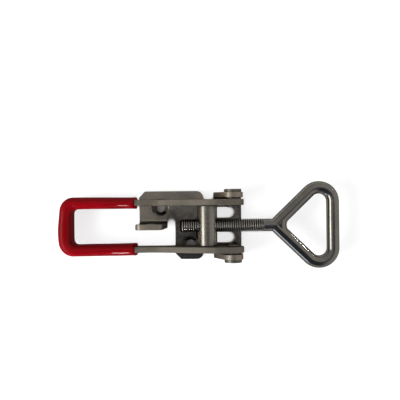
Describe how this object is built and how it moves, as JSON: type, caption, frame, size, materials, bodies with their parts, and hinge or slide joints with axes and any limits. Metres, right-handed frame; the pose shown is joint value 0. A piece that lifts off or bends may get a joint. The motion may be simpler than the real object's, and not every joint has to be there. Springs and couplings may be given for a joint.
{
  "type": "toggle bolt latch",
  "caption": "Over-centre toggle latch: U-shaped handle with a dipped grip pulls a threaded draw bolt with a triangular loop; folded sheet base with padlock lug.",
  "frame": {"origin": "on the mounting face, on the centre line, directly below the handle's pivot axis", "axes": "+X towards the loop of the draw bolt, +Z away from the mounting face, +Y across the latch"},
  "size_m": [0.1281, 0.0392, 0.021],
  "materials": {
    "plated_sheet": "satin",
    "plated_rivet": "satin",
    "plated_bar": "satin",
    "grip_vinyl": "gloss",
    "plated_turned": "polished",
    "plated_rod": "polished"
  },
  "bodies": {
    "base": {"base_plate": "plated_sheet", "pivot_rivet_left": "plated_rivet", "pivot_rivet_right": "plated_rivet"},
    "handle": {"handle_bar": "plated_bar", "grip_sleeve": "grip_vinyl"},
    "trunnion": {"trunnion_barrel": "plated_turned"},
    "draw_bolt": {"draw_bolt": "plated_rod"}
  },
  "joints": [
    {"name": "handle_pivot", "type": "hinge", "parent": "base", "child": "handle", "pos_m": [0, 0, 0.012], "axis": [0, 1, 0], "range_deg": [0, 160]},
    {"name": "trunnion_pivot", "type": "hinge", "parent": "handle", "child": "trunnion", "pos_m": [-0.0115, 0, 0.009], "axis": [0, 1, 0], "range_deg": [-160, 0]},
    {"name": "bolt_adjust", "type": "slide", "parent": "trunnion", "child": "draw_bolt", "axis": [1, 0, 0], "range_m": [-0.0035, 0.008]}
  ],
  "couplings": [
    {"joint": "trunnion_pivot", "follows": "handle_pivot", "ratio": -1}
  ]
}
